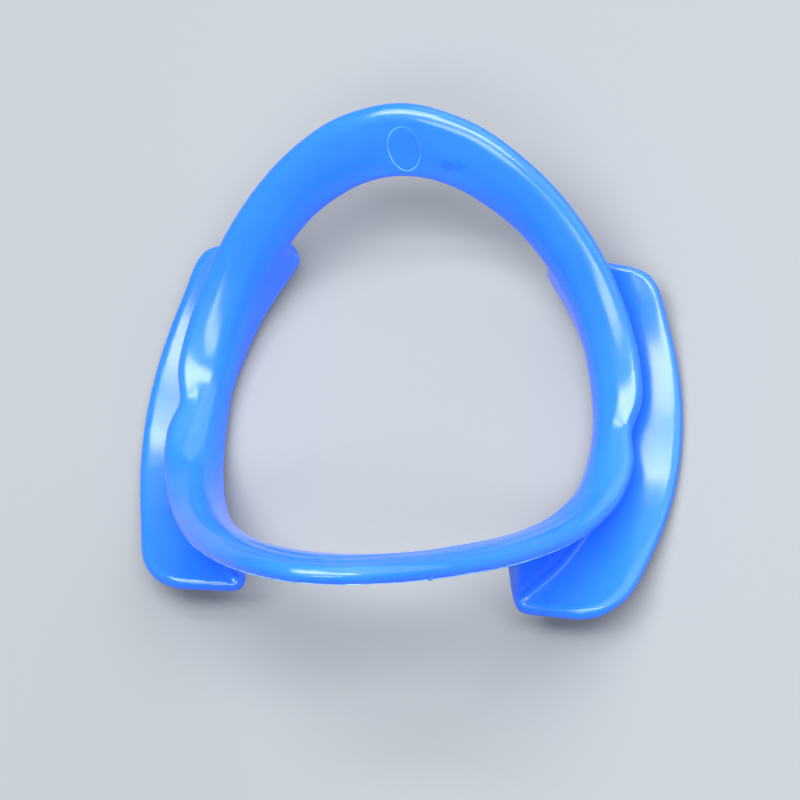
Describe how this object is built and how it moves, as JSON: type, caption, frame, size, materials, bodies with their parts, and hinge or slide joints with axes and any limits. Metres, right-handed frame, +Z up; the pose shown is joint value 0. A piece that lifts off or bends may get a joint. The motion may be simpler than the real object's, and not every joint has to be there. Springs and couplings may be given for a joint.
{
  "type": "mouth opener",
  "caption": "O-shaped moulded plastic lip and cheek opener: an arched ring with a rolled rim, notches for the corners of the mouth and a curved cheek wing on each side.",
  "frame": {"origin": "centre of the bounding box at the table, with the opener lying on its two cheek wings", "axes": "+X from cheek to cheek, +Y towards the top of the mouth, +Z up, out of the mouth"},
  "size_m": [0.0702, 0.0646, 0.0394],
  "materials": {
    "blue_plastic": "glossy, slightly translucent blue plastic"
  },
  "bodies": {
    "root": {"mouth_opener": "blue_plastic"}
  },
  "joints": []
}
